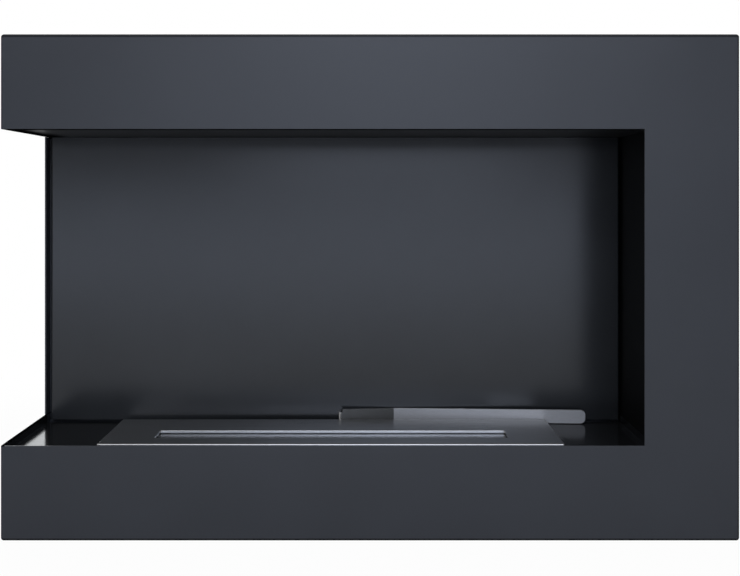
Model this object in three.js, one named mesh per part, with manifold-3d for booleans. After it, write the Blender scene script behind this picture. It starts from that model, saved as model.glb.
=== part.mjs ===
// A wall-hung or standing bioethanol fireplace with an open left corner, in millimetres.
// X runs to the right and Z up. Y runs from the front face (-Y) to the wall (+Y).
// The origin is the middle of the underside.

import * as THREE from 'three';
import { mergeVertices } from 'three/addons/utils/BufferGeometryUtils.js';
import Module from 'manifold-3d';

const wasm = await Module();
wasm.setup();

// ---------------------------------------------------------------- driving dimensions

const WIDTH = 700;
const HEIGHT = 480;
const DEPTH = 200;
const BAND = 90; // header, right column and base, seen from the front
const SHEET = 1.5;
const FOLD = 2; // outer radius of a folded edge
const GAP = 0.3; // between pieces that touch

const RETURN_DEPTH = 20; // the front sheet's folded edges
const BACK_FACE = 195.3; // outer face of the back panel, measured from the front
const REAR_FLANGE = 15; // covers' inward flanges that the back panel is screwed to
const LEFT_EDGE_FRONT = 176; // where the back panel's folded left edge ends

const LINER_FACE = 179; // front of the rear liner, measured from the front
const LINER_LEFT = -344;
const LINER_RIGHT = 270;
const LINER_BOTTOM = 84.5;
const COLUMN_LINER_X = 272;

const TRAY_FLOOR = 82.3; // top of the hearth tray's floor
const TRAY_REAR = 174;

const BURNER_X = -37.7; // middle of the burner
const BURNER_LENGTH = 452;
const BURNER_DEPTH = 140;
const BURNER_FRONT = 24;
const BURNER_TOP = 87.5;
const PLATE_THICKNESS = 2.5;
const SLOT_LENGTH = 350.5;
const SLOT_WIDTH = 40;
const SLOT_FRONT = 54.8;

const TANK_LENGTH = 380;
const TANK_DEPTH = 120;
const TANK_FRONT = 34;
const TANK_BOTTOM = 22;
const TANK_SHEET = 1.2;

const SHUTTER_LENGTH = 366;
const SHUTTER_WIDTH = 48;
const SHUTTER_TOP = 84.2;
const SHUTTER_SHEET = 1.2;

const TOOL_HEIGHT = 15;
const TOOL_THICKNESS = 3;
const TOOL_LEFT = { x: -33, front: 168 }; // plan points of the tool's front face
const TOOL_BEND = { x: 26.5, front: 175.3 };
const TOOL_RIGHT = { x: 231.2, front: 162.5 };

// ---------------------------------------------------------------- shared dimensions

const LEFT = -WIDTH / 2;
const RIGHT = WIDTH / 2;
const FRONT = -DEPTH / 2;
const OPENING_RIGHT = RIGHT - BAND;
const OPENING_TOP = HEIGHT - BAND;
const PANEL_FRONT = BACK_FACE - SHEET;
const COVER_REAR = PANEL_FRONT - GAP;
const INNER_LEFT = LEFT + SHEET + GAP;
const INNER_RIGHT = RIGHT - SHEET - GAP;
const INNER_TOP = HEIGHT - SHEET - GAP;
const INNER_BOTTOM = SHEET + GAP;
const BEHIND_FRONT = SHEET + GAP;
const LAP = SHEET / 2; // how far joined sheets run into each other
const BEYOND = 1; // how far a cutter runs past the piece it cuts
const ARC_STEPS = 3;
const ROUND_SIDES = 12;
const SMALL_SIDES = 8;

// ---------------------------------------------------------------- solids

// Depth below is measured from the front face; this turns it into Y.
const depthY = (depth) => FRONT + depth;

function solidOf(geometry) {
  const bare = geometry.clone();
  bare.deleteAttribute('normal');
  bare.deleteAttribute('uv');
  const merged = mergeVertices(bare, 1e-5);
  return new wasm.Manifold(new wasm.Mesh({
    numProp: 3,
    vertProperties: new Float32Array(merged.attributes.position.array),
    triVerts: new Uint32Array(merged.index.array),
  }));
}

function geometryOf(solid) {
  const mesh = solid.getMesh();
  const geometry = new THREE.BufferGeometry();
  geometry.setAttribute('position', new THREE.BufferAttribute(mesh.vertProperties, 3));
  geometry.setIndex(new THREE.BufferAttribute(mesh.triVerts, 1));
  const flat = geometry.toNonIndexed();
  flat.computeVertexNormals();
  return flat;
}

// The range of a cutter that runs right through the range given.
const through = ([low, high]) => [low - BEYOND, high + BEYOND];

function joined(solids) {
  return solids.reduce((whole, solid) => whole.add(solid));
}

function cutBy(solid, tools) {
  return tools.reduce((rest, tool) => rest.subtract(tool), solid);
}

// A block between two X, two depths and two heights.
function block([x0, x1], [d0, d1], [z0, z1]) {
  const geometry = new THREE.BoxGeometry(x1 - x0, d1 - d0, z1 - z0);
  geometry.translate((x0 + x1) / 2, depthY((d0 + d1) / 2), (z0 + z1) / 2);
  return solidOf(geometry);
}

function extruded(shape, length, curveSegments) {
  return new THREE.ExtrudeGeometry(shape, { depth: length, bevelEnabled: false, curveSegments });
}

// A profile drawn as (x, z), seen from the front, run from one depth to another.
function alongDepth(shape, [d0, d1], curveSegments = ARC_STEPS) {
  const geometry = extruded(shape, d1 - d0, curveSegments);
  geometry.rotateX(Math.PI / 2);
  geometry.translate(0, depthY(d1), 0);
  return solidOf(geometry);
}

// A profile drawn as (depth, z), seen from the right, run from one X to another.
function alongWidth(shape, [x0, x1]) {
  const geometry = extruded(shape, x1 - x0, ARC_STEPS);
  geometry.rotateX(Math.PI / 2);
  geometry.rotateZ(Math.PI / 2);
  geometry.translate(x0, FRONT, 0);
  return solidOf(geometry);
}

// A profile drawn as (x, depth), seen from above, run from one height to another.
function alongHeight(shape, [z0, z1], curveSegments = ARC_STEPS) {
  const geometry = extruded(shape, z1 - z0, curveSegments);
  geometry.translate(0, FRONT, z0);
  return solidOf(geometry);
}

// A round bar or disc whose axis runs in depth.
function disc(x, z, radius, [d0, d1], sides = ROUND_SIDES) {
  const geometry = new THREE.CylinderGeometry(radius, radius, d1 - d0, sides);
  geometry.translate(x, depthY((d0 + d1) / 2), z);
  return solidOf(geometry);
}

// The points of a polyline whose folds are rounded by the radii given.
function roundedLine(corners, radii) {
  const arcs = radii.map((radius, i) => {
    const [before, corner, after] = corners.slice(i, i + 3);
    const start = before.clone().sub(corner).setLength(radius).add(corner);
    const end = after.clone().sub(corner).setLength(radius).add(corner);
    return new THREE.QuadraticBezierCurve(start, corner, end).getPoints(ARC_STEPS);
  });
  return [corners[0], ...arcs.flat(), corners.at(-1)];
}

// The cross-section of a sheet folded at right angles along a polyline.
// The polyline is one face of the sheet, and the sheet lies to its left.
function foldedSheet(points) {
  const face = points.map(([x, y]) => new THREE.Vector2(x, y));
  const steps = face.slice(1).map((point, i) => point.clone().sub(face[i]).setLength(SHEET));
  const lefts = steps.map((step) => new THREE.Vector2(-step.y, step.x));
  const foldsLeft = lefts.slice(1).map((_, i) => steps[i].cross(steps[i + 1]) > 0);
  const back = [
    face[0].clone().add(lefts[0]),
    ...foldsLeft.map((_, i) => face[i + 1].clone().add(lefts[i]).add(lefts[i + 1])),
    face.at(-1).clone().add(lefts.at(-1)),
  ];
  const inside = FOLD - SHEET;
  const faceRadii = foldsLeft.map((isLeft) => (isLeft ? FOLD : inside));
  const backRadii = foldsLeft.map((isLeft) => (isLeft ? inside : FOLD));
  return new THREE.Shape([
    ...roundedLine(face, faceRadii),
    ...roundedLine(back, backRadii).reverse(),
  ]);
}

function roundedRectangle([x0, x1], [y0, y1], radius) {
  const shape = new THREE.Shape();
  shape.moveTo(x0 + radius, y0);
  shape.lineTo(x1 - radius, y0);
  shape.absarc(x1 - radius, y0 + radius, radius, -Math.PI / 2, 0);
  shape.lineTo(x1, y1 - radius);
  shape.absarc(x1 - radius, y1 - radius, radius, 0, Math.PI / 2);
  shape.lineTo(x0 + radius, y1);
  shape.absarc(x0 + radius, y1 - radius, radius, Math.PI / 2, Math.PI);
  shape.lineTo(x0, y0 + radius);
  shape.absarc(x0 + radius, y0 + radius, radius, Math.PI, Math.PI * 1.5);
  return shape;
}

// ---------------------------------------------------------------- finishes

const finish = (color, roughness, metalness) => ({ color, roughness, metalness });
const POWDER_COAT = finish(0x3b3d42, 0.45, 0.2);
const MATT_LINER = finish(0x34363a, 0.5, 0.2);
const GLOSS_TRAY = finish(0x101113, 0.15, 0.1);
const GALVANISED = finish(0x8d9194, 0.5, 0.8);
const BRUSHED_STEEL = finish(0x8f9298, 0.35, 1);
const TANK_STEEL = finish(0x7c8084, 0.4, 1);
const TOOL_STEEL = finish(0xb4b7bd, 0.25, 1);
const WOOL = finish(0xe6e2d8, 0.95, 0);
const RUBBER = finish(0x1a1a1b, 0.9, 0);
const ZINC = finish(0xa9adb1, 0.4, 0.9);

const fireplace = new THREE.Group();
const casing = new THREE.Group();
const burner = new THREE.Group();
fireplace.add(casing, burner);

function addPiece(group, name, solid, look) {
  const piece = new THREE.Mesh(geometryOf(solid), new THREE.MeshStandardMaterial(look));
  piece.name = name;
  group.add(piece);
}

// One numbered piece at each place.
function addCopies(group, name, places, makeSolid, look) {
  places.forEach((place, i) => addPiece(group, `${name}_${i + 1}`, makeSolid(...place), look));
}

// ---------------------------------------------------------------- front

// The C-shaped front: one sheet whose outer edges are folded back all round.
function frontFrame() {
  const outline = roundedRectangle([LEFT + FOLD, RIGHT - FOLD], [FOLD, HEIGHT - FOLD], FOLD / 2);
  const geometry = new THREE.ExtrudeGeometry(outline, {
    depth: RETURN_DEPTH,
    bevelThickness: FOLD,
    bevelSize: FOLD,
    bevelSegments: ARC_STEPS,
    curveSegments: ARC_STEPS,
  });
  geometry.rotateX(Math.PI / 2);
  geometry.translate(0, depthY(FOLD + RETURN_DEPTH), 0);
  const behind = block(through([LEFT, RIGHT]), [RETURN_DEPTH, DEPTH], through([0, HEIGHT]));
  const hollow = block([LEFT + SHEET, RIGHT - SHEET], [SHEET, DEPTH], [SHEET, HEIGHT - SHEET]);
  const opening = block([LEFT - BEYOND, OPENING_RIGHT], through([0, DEPTH]), [BAND, OPENING_TOP]);
  return cutBy(solidOf(geometry), [behind, hollow, opening]);
}
addPiece(casing, 'front_frame', frontFrame(), POWDER_COAT);

// ---------------------------------------------------------------- back panel and its fixings

const SCREW_INSET = 7.5;
const SCREW_HOLE = 2.1;
const SCREW_SHANK = 1.7;
const SCREW_HEAD = 3.6;
const SCREW_HEAD_HEIGHT = 1.8;
const SCREW_LENGTH = 5;
const screwPlaces = [
  ...[-300, 0, 300].flatMap((x) => [[x, SCREW_INSET], [x, HEIGHT - SCREW_INSET]]),
  ...[160, 320].map((z) => [RIGHT - SCREW_INSET, z]),
  ...[BAND / 2, HEIGHT - BAND / 2].map((z) => [LEFT + SCREW_INSET, z]),
];
function screwHoles(depths) {
  return screwPlaces.map(([x, z]) => disc(x, z, SCREW_HOLE, depths, SMALL_SIDES));
}

const STUD_HOLE = 3;
const STUD_RADIUS = 2.4;
const studPlaces = [-280, 205].flatMap((x) => [[x, 130], [x, 345]]);

const KEYHOLE_X = 230;
const KEYHOLE_Z = 432;
const KEYHOLE_RADIUS = 5.5;
const KEYHOLE_SLOT = 5.6;
const KEYHOLE_RISE = 14;
const HANGER_WIDTH = 60;
const HANGER_HEIGHT = 46;
const HANGER_THICKNESS = 2;
const keyholePlaces = [-KEYHOLE_X, KEYHOLE_X];

// A round mouth for the screw's head with a narrow slot above it.
function keyhole(x, depths) {
  const halfSlot = KEYHOLE_SLOT / 2;
  const slot = block([x - halfSlot, x + halfSlot], depths, [KEYHOLE_Z, KEYHOLE_Z + KEYHOLE_RISE]);
  return disc(x, KEYHOLE_Z, KEYHOLE_RADIUS, depths).add(slot);
}

// A flat panel whose left edge is folded forwards beside the opening.
const panelDepths = [PANEL_FRONT, BACK_FACE];
function backPanel() {
  const folded = foldedSheet([[RIGHT, BACK_FACE], [LEFT, BACK_FACE], [LEFT, LEFT_EDGE_FRONT]]);
  const middle = [BAND + GAP, OPENING_TOP - GAP];
  const whole = block([LEFT, RIGHT], panelDepths, [GAP, HEIGHT - GAP]);
  const leftEdge = block([LEFT - BEYOND, LEFT + FOLD], through(panelDepths), middle);
  const cutters = through(panelDepths);
  return cutBy(whole.subtract(leftEdge).add(alongHeight(folded, middle)), [
    ...screwHoles(cutters),
    ...studPlaces.map(([x, z]) => disc(x, z, STUD_HOLE, cutters, SMALL_SIDES)),
    ...keyholePlaces.map((x) => keyhole(x, cutters)),
  ]);
}
addPiece(casing, 'back_panel', backPanel(), POWDER_COAT);

// A thick plate behind each keyhole, which takes the weight off the panel's edge.
const hangerDepths = [COVER_REAR - HANGER_THICKNESS, COVER_REAR];
function hangerPlate(x) {
  const halfWidth = HANGER_WIDTH / 2;
  const heights = [KEYHOLE_Z - HANGER_HEIGHT / 2, KEYHOLE_Z + HANGER_HEIGHT / 2];
  const plate = roundedRectangle([x - halfWidth, x + halfWidth], heights, FOLD);
  return alongDepth(plate, hangerDepths).subtract(keyhole(x, through(hangerDepths)));
}
addPiece(casing, 'hanger_plate_left', hangerPlate(-KEYHOLE_X), ZINC);
addPiece(casing, 'hanger_plate_right', hangerPlate(KEYHOLE_X), ZINC);

function backScrew(x, z) {
  const head = [BACK_FACE + GAP, BACK_FACE + GAP + SCREW_HEAD_HEIGHT];
  const shank = [PANEL_FRONT - SCREW_LENGTH, head[0] + SCREW_HEAD_HEIGHT / 2];
  return disc(x, z, SCREW_HEAD, head, SMALL_SIDES).add(disc(x, z, SCREW_SHANK, shank, SMALL_SIDES));
}
addCopies(casing, 'back_screw', screwPlaces, backScrew, ZINC);

// ---------------------------------------------------------------- covers

const coverDepths = [RETURN_DEPTH + GAP, COVER_REAR];
const flangeDepths = [COVER_REAR - SHEET, COVER_REAR];
const flangeHoles = screwHoles(through(flangeDepths));
const longFlangeX = [LEFT + LAP, RIGHT - REAR_FLANGE - GAP]; // it stops short of the side cover's
const endFlangeX = [LEFT + LAP, LEFT + REAR_FLANGE];
const END_FLANGE_STOP = 8; // from the opening to the end of the left flanges

function topCover() {
  return cutBy(joined([
    alongDepth(foldedSheet([[RIGHT, HEIGHT], [LEFT, HEIGHT], [LEFT, OPENING_TOP]]), coverDepths),
    block(longFlangeX, flangeDepths, [HEIGHT - REAR_FLANGE, HEIGHT - LAP]),
    block(endFlangeX, flangeDepths, [OPENING_TOP + END_FLANGE_STOP, HEIGHT - LAP]),
  ]), flangeHoles);
}
addPiece(casing, 'top_cover', topCover(), POWDER_COAT);

function baseCover() {
  return cutBy(joined([
    alongDepth(foldedSheet([[LEFT, BAND], [LEFT, 0], [RIGHT, 0]]), coverDepths),
    block(longFlangeX, flangeDepths, [LAP, REAR_FLANGE]),
    block(endFlangeX, flangeDepths, [LAP, BAND - END_FLANGE_STOP]),
  ]), flangeHoles);
}
addPiece(casing, 'base_cover', baseCover(), POWDER_COAT);

function sideCover() {
  const flangeX = RIGHT - REAR_FLANGE;
  const profile = foldedSheet([
    [flangeX, INNER_BOTTOM],
    [RIGHT, INNER_BOTTOM],
    [RIGHT, INNER_TOP],
    [flangeX, INNER_TOP],
  ]);
  const heights = [REAR_FLANGE + FOLD, HEIGHT - REAR_FLANGE - FOLD];
  return cutBy(joined([
    alongDepth(profile, coverDepths),
    block([flangeX, RIGHT - LAP], flangeDepths, heights),
  ]), flangeHoles);
}
addPiece(casing, 'side_cover', sideCover(), POWDER_COAT);

// Flat strips behind the seam between the front and the covers, welded to both.
const STRIP_WIDTH = 24;
const STRIP_END = 20;
const stripDepths = [RETURN_DEPTH - STRIP_WIDTH / 2, RETURN_DEPTH + STRIP_WIDTH / 2];
const stripX = [INNER_LEFT + STRIP_END, INNER_RIGHT - STRIP_END];
const stripLeft = [INNER_LEFT, INNER_LEFT + SHEET];
const strips = {
  top: [stripX, [INNER_TOP - SHEET, INNER_TOP]],
  base: [stripX, [INNER_BOTTOM, INNER_BOTTOM + SHEET]],
  side: [[INNER_RIGHT - SHEET, INNER_RIGHT], [STRIP_END, HEIGHT - STRIP_END]],
  header_end: [stripLeft, [OPENING_TOP + STRIP_END, HEIGHT - STRIP_END]],
  base_end: [stripLeft, [STRIP_END, BAND - STRIP_END]],
};
Object.entries(strips).forEach(([side, [xs, heights]]) => {
  addPiece(casing, `seam_strip_${side}`, block(xs, stripDepths, heights), GALVANISED);
});

// ---------------------------------------------------------------- firebox

const CHANNEL_RISE = 15;

// A channel whose web is the firebox's ceiling, from just behind the front to the depth given.
function ceilingProfile(rear, rearRise) {
  return foldedSheet([
    [BEHIND_FRONT, OPENING_TOP + CHANNEL_RISE],
    [BEHIND_FRONT, OPENING_TOP],
    [rear, OPENING_TOP],
    [rear, OPENING_TOP + rearRise],
  ]);
}

// The ceiling's left end is shorter, because the top cover's left flange is behind it.
function ceilingPanel() {
  const mainX = [LEFT + REAR_FLANGE + GAP, COLUMN_LINER_X - GAP];
  const main = alongWidth(ceilingProfile(COVER_REAR, CHANNEL_RISE), mainX);
  const end = ceilingProfile(flangeDepths[0] - GAP, END_FLANGE_STOP - FOLD);
  return main.add(alongWidth(end, [INNER_LEFT, mainX[0] + LAP]));
}
addPiece(casing, 'ceiling_panel', ceilingPanel(), MATT_LINER);

const COLUMN_OVERRUN = 20; // how far its ends run behind the header and the base
const columnProfile = foldedSheet([
  [COLUMN_LINER_X + CHANNEL_RISE, COVER_REAR],
  [COLUMN_LINER_X, COVER_REAR],
  [COLUMN_LINER_X, BEHIND_FRONT],
  [COLUMN_LINER_X + CHANNEL_RISE, BEHIND_FRONT],
]);
const columnHeights = [BAND - COLUMN_OVERRUN, OPENING_TOP + COLUMN_OVERRUN];
addPiece(casing, 'column_liner', alongHeight(columnProfile, columnHeights), MATT_LINER);

const LINER_FLANGE = 12;
const linerProfile = foldedSheet([
  [LINER_LEFT, LINER_FACE + LINER_FLANGE],
  [LINER_LEFT, LINER_FACE],
  [LINER_RIGHT, LINER_FACE],
  [LINER_RIGHT, LINER_FACE + LINER_FLANGE],
]);
const linerHeights = [LINER_BOTTOM, OPENING_TOP - GAP];
addPiece(casing, 'rear_liner', alongHeight(linerProfile, linerHeights), MATT_LINER);

// Studs welded to the liner's back pass through spacers and the back panel to nuts.
const SPACER_RADIUS = 6;
const NUT_RADIUS = 4.6;
const NUT_HEIGHT = 3.2;
const STUD_PROUD = 0.6;
const HEX_SIDES = 6;
const linerBack = LINER_FACE + SHEET;
const nutDepths = [BACK_FACE + GAP, BACK_FACE + GAP + NUT_HEIGHT];
const spacerDepths = [linerBack + GAP, PANEL_FRONT - GAP];
const studDepths = [linerBack + GAP, nutDepths[1] + STUD_PROUD];

// A round or hexagonal bar with the studs' clearance hole through it.
function sleeve(x, z, radius, depths, sides) {
  const hole = disc(x, z, STUD_HOLE, through(depths), SMALL_SIDES);
  return disc(x, z, radius, depths, sides).subtract(hole);
}
const linerStud = (x, z) => disc(x, z, STUD_RADIUS, studDepths, SMALL_SIDES);
const linerSpacer = (x, z) => sleeve(x, z, SPACER_RADIUS, spacerDepths, ROUND_SIDES);
const linerNut = (x, z) => sleeve(x, z, NUT_RADIUS, nutDepths, HEX_SIDES);
addCopies(casing, 'liner_stud', studPlaces, linerStud, ZINC);
addCopies(casing, 'liner_spacer', studPlaces, linerSpacer, ZINC);
addCopies(casing, 'liner_nut', studPlaces, linerNut, ZINC);

// Rubber pads that stand off the wall and set the fireplace's full depth.
const BUMPER_RADIUS = 12;
const BUMPER_X = 310;
const BUMPER_Z = 36;
const bumperPlaces = [-BUMPER_X, BUMPER_X].flatMap((x) => [[x, BUMPER_Z], [x, HEIGHT - BUMPER_Z]]);
const wallBumper = (x, z) => disc(x, z, BUMPER_RADIUS, [BACK_FACE + GAP, DEPTH]);
addCopies(casing, 'wall_bumper', bumperPlaces, wallBumper, RUBBER);

// ---------------------------------------------------------------- hearth tray

const TRAY_SIDE_LIP = 89.7; // tops of the upturned edges
const TRAY_FRONT_LIP = 88;
const TRAY_REAR_DROP = 12;
const CUT_CLEARANCE = 1.5;
const tankX = [BURNER_X - TANK_LENGTH / 2, BURNER_X + TANK_LENGTH / 2];
const tankDepths = [TANK_FRONT, TANK_FRONT + TANK_DEPTH];

// The floor is turned up at the front and both ends and down at the rear.
// The tank hangs through the cut in it.
function hearthTray() {
  const under = TRAY_FLOOR - SHEET;
  const right = COLUMN_LINER_X - GAP;
  const profile = foldedSheet([
    [INNER_LEFT, TRAY_SIDE_LIP],
    [INNER_LEFT, under],
    [right, under],
    [right, TRAY_SIDE_LIP],
  ]);
  const lipX = [INNER_LEFT + LAP, right - LAP];
  const cutX = [tankX[0] - CUT_CLEARANCE, tankX[1] + CUT_CLEARANCE];
  const cutDepths = [tankDepths[0] - CUT_CLEARANCE, tankDepths[1] + CUT_CLEARANCE];
  return joined([
    alongDepth(profile, [BEHIND_FRONT, TRAY_REAR]),
    block(lipX, [BEHIND_FRONT, BEHIND_FRONT + SHEET], [under + LAP, TRAY_FRONT_LIP]),
    block(lipX, [TRAY_REAR - SHEET, TRAY_REAR], [under - TRAY_REAR_DROP, TRAY_FLOOR - LAP]),
  ]).subtract(block(cutX, cutDepths, through([under, TRAY_FLOOR])));
}
addPiece(casing, 'hearth_tray', hearthTray(), GLOSS_TRAY);

// A channel with its back to the left, run in depth.
const CHANNEL_WIDTH = 25;
function channel(x, [z0, z1], depths) {
  const profile = foldedSheet([
    [x + CHANNEL_WIDTH, z1],
    [x, z1],
    [x, z0],
    [x + CHANNEL_WIDTH, z0],
  ]);
  return alongDepth(profile, depths);
}

const CHANNEL_END_GAP = 3; // from its ends to the seam strips and the rear flanges
const channelFront = stripDepths[1] + CHANNEL_END_GAP;

const bearerHeights = [INNER_BOTTOM, TRAY_FLOOR - SHEET - GAP];
const bearerDepths = [channelFront, TRAY_REAR - SHEET - GAP];
const bearerPlaces = { left: -275, middle: 158, right: 240 };
Object.entries(bearerPlaces).forEach(([side, x]) => {
  addPiece(casing, `tray_bearer_${side}`, channel(x, bearerHeights, bearerDepths), GALVANISED);
});

const braceHeights = [OPENING_TOP + SHEET + GAP, INNER_TOP];
const braceDepths = [channelFront, flangeDepths[0] - CHANNEL_END_GAP];
const bracePlaces = { left: -170, right: 120 };
Object.entries(bracePlaces).forEach(([side, x]) => {
  addPiece(casing, `header_brace_${side}`, channel(x, braceHeights, braceDepths), GALVANISED);
});

// ---------------------------------------------------------------- burner

// Top plate with a narrow skirt that stands on the tray's floor, and the flame slot.
const PLATE_CORNER = 1;
const SKIRT_THICKNESS = 2;
function burnerPlate() {
  const xs = [BURNER_X - BURNER_LENGTH / 2, BURNER_X + BURNER_LENGTH / 2];
  const depths = [BURNER_FRONT, BURNER_FRONT + BURNER_DEPTH];
  const heights = [TRAY_FLOOR + GAP, BURNER_TOP];
  const solid = alongHeight(roundedRectangle(xs, depths, PLATE_CORNER), heights);
  const hollow = block(
    [xs[0] + SKIRT_THICKNESS, xs[1] - SKIRT_THICKNESS],
    [depths[0] + SKIRT_THICKNESS, depths[1] - SKIRT_THICKNESS],
    [0, BURNER_TOP - PLATE_THICKNESS],
  );
  const slotX = [BURNER_X - SLOT_LENGTH / 2, BURNER_X + SLOT_LENGTH / 2];
  const slotDepths = [SLOT_FRONT, SLOT_FRONT + SLOT_WIDTH];
  const slot = alongHeight(roundedRectangle(slotX, slotDepths, PLATE_CORNER), through(heights));
  return cutBy(solid, [hollow, slot]);
}
addPiece(burner, 'burner_plate', burnerPlate(), BRUSHED_STEEL);

// An open box with rounded corners, which hangs under the plate.
const TANK_CORNER = 6;
const tankTop = BURNER_TOP - PLATE_THICKNESS - GAP;
const insideTank = ([low, high]) => [low + TANK_SHEET, high - TANK_SHEET];
function burnerTank() {
  const outline = roundedRectangle(tankX, tankDepths, TANK_CORNER);
  const space = roundedRectangle(insideTank(tankX), insideTank(tankDepths), TANK_CORNER - TANK_SHEET);
  return alongHeight(outline, [TANK_BOTTOM, tankTop])
    .subtract(alongHeight(space, [TANK_BOTTOM + TANK_SHEET, tankTop + BEYOND]));
}
addPiece(burner, 'burner_tank', burnerTank(), TANK_STEEL);

// Two pads of ceramic wool that soak up the fuel.
const WOOL_HEIGHT = 46;
const WOOL_CLEARANCE = 1;
const woolBottom = TANK_BOTTOM + TANK_SHEET + GAP;
function woolPad([x0, x1]) {
  const [d0, d1] = insideTank(tankDepths);
  const outline = roundedRectangle(
    [x0 + WOOL_CLEARANCE, x1 - WOOL_CLEARANCE],
    [d0 + WOOL_CLEARANCE, d1 - WOOL_CLEARANCE],
    TANK_CORNER,
  );
  return alongHeight(outline, [woolBottom, woolBottom + WOOL_HEIGHT]);
}
const [woolLeft, woolRight] = insideTank(tankX);
addPiece(burner, 'wool_pad_left', woolPad([woolLeft, BURNER_X]), WOOL);
addPiece(burner, 'wool_pad_right', woolPad([BURNER_X, woolRight]), WOOL);

// Angle rails under the plate, whose ledges carry the shutter's ends.
const RAIL_SHEET = 1.2;
const RAIL_CLEARANCE = 1.5;
const RAIL_LEDGE = 6;
const RAIL_FRONT_INSET = 12;
const RAIL_REAR_INSET = 3;
const railDepths = [tankDepths[0] + RAIL_FRONT_INSET, tankDepths[1] - RAIL_REAR_INSET];
const railLow = SHUTTER_TOP - SHUTTER_SHEET - GAP - RAIL_SHEET;
const railOffset = SHUTTER_LENGTH / 2 + RAIL_CLEARANCE;
function shutterRail(web, ledge) {
  return block(ledge, railDepths, [railLow, railLow + RAIL_SHEET])
    .add(block(web, railDepths, [railLow, tankTop]));
}
const railLeft = BURNER_X - railOffset;
addPiece(burner, 'shutter_rail_left', shutterRail(
  [railLeft - RAIL_SHEET, railLeft],
  [railLeft - RAIL_SHEET, railLeft + RAIL_LEDGE],
), TANK_STEEL);
const railRight = BURNER_X + railOffset;
addPiece(burner, 'shutter_rail_right', shutterRail(
  [railRight, railRight + RAIL_SHEET],
  [railRight - RAIL_LEDGE, railRight + RAIL_SHEET],
), TANK_STEEL);

// ---------------------------------------------------------------- shutter

const SHUTTER_LIP = 4;
const SHUTTER_LIP_INSET = 8;
const FINGER_HOLE_DEPTH = SLOT_FRONT + 6; // its middle, from the front
const FINGER_HOLE_RADIUS = 5.5;
const shutterFront = SLOT_FRONT - (SHUTTER_WIDTH - SLOT_WIDTH) / 2;

// A flat plate with stiffening lips and the hole that the tool's finger drops into.
function shutterPlate() {
  const xs = [BURNER_X - SHUTTER_LENGTH / 2, BURNER_X + SHUTTER_LENGTH / 2];
  const depths = [shutterFront, shutterFront + SHUTTER_WIDTH];
  const under = SHUTTER_TOP - SHUTTER_SHEET;
  const lipX = [xs[0] + SHUTTER_LIP_INSET, xs[1] - SHUTTER_LIP_INSET];
  const lipHeights = [under - SHUTTER_LIP, SHUTTER_TOP - SHUTTER_SHEET / 2];
  const hole = new THREE.Shape();
  hole.absarc(BURNER_X, FINGER_HOLE_DEPTH, FINGER_HOLE_RADIUS, 0, Math.PI * 2);
  return joined([
    block(xs, depths, [under, SHUTTER_TOP]),
    block(lipX, [depths[0], depths[0] + SHUTTER_SHEET], lipHeights),
    block(lipX, [depths[1] - SHUTTER_SHEET, depths[1]], lipHeights),
  ]).subtract(alongHeight(hole, through([under, SHUTTER_TOP]), ROUND_SIDES));
}
addPiece(burner, 'shutter_plate', shutterPlate(), BRUSHED_STEEL);

// ---------------------------------------------------------------- closing tool

const FINGER_REACH = 178.4; // the finger's tip rests against the rear liner
const FINGER_HEIGHT = 8.6;
const FINGER_INSET = 3.2; // the finger is narrower than the bar, above and below
const FINGER_BEND = 4;
const TOOL_END_RADIUS = 5.5;
const TOOL_ROUND_STEPS = 6;

// The finger: a narrow tongue bent back at the shank's end, seen from above.
function fingerPlan() {
  const left = TOOL_LEFT.x;
  const front = TOOL_LEFT.front;
  const root = left + FINGER_BEND + LAP; // it overlaps the shank up to here
  const shape = new THREE.Shape();
  shape.moveTo(left, FINGER_REACH);
  shape.lineTo(left, front + FINGER_BEND);
  shape.quadraticCurveTo(left, front, left + FINGER_BEND, front);
  shape.lineTo(root, front);
  shape.lineTo(root, front + TOOL_THICKNESS);
  shape.lineTo(left + TOOL_THICKNESS, front + TOOL_THICKNESS);
  shape.lineTo(left + TOOL_THICKNESS, FINGER_REACH);
  shape.closePath();
  return shape;
}

// The bar seen from above: a shank and a handle that meet at a slight bend.
function barPlan() {
  const start = { x: TOOL_LEFT.x + FINGER_BEND, front: TOOL_LEFT.front };
  const plan = [start, TOOL_BEND, TOOL_RIGHT];
  return new THREE.Shape([
    ...plan.map(({ x, front }) => new THREE.Vector2(x, front)),
    ...plan.map(({ x, front }) => new THREE.Vector2(x, front + TOOL_THICKNESS)).reverse(),
  ]);
}

// The bar seen from the front: its handle end is rounded.
function barFace([low, high]) {
  const centre = TOOL_RIGHT.x - TOOL_END_RADIUS;
  const shape = new THREE.Shape();
  shape.moveTo(TOOL_LEFT.x, low);
  shape.lineTo(centre, low);
  shape.absarc(centre, low + TOOL_END_RADIUS, TOOL_END_RADIUS, -Math.PI / 2, 0);
  shape.absarc(centre, high - TOOL_END_RADIUS, TOOL_END_RADIUS, 0, Math.PI / 2);
  shape.lineTo(TOOL_LEFT.x, high);
  shape.closePath();
  return shape;
}

// A flat bar that stands on its edge on the tray's floor, behind the burner plate.
function closingTool() {
  const bottom = TRAY_FLOOR + GAP;
  const heights = [bottom, bottom + TOOL_HEIGHT];
  const bar = alongHeight(barPlan(), heights)
    .intersect(alongDepth(barFace(heights), [0, DEPTH], TOOL_ROUND_STEPS));
  const fingerBottom = bottom + FINGER_INSET;
  return bar.add(alongHeight(fingerPlan(), [fingerBottom, fingerBottom + FINGER_HEIGHT]));
}
addPiece(fireplace, 'closing_tool', closingTool(), TOOL_STEEL);

export default fireplace;
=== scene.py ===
"""A bioethanol fireplace in folded, powder-coated steel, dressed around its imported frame. Metres."""

import math

import bmesh
import bpy
from mathutils import Matrix, Vector, noise


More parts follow.
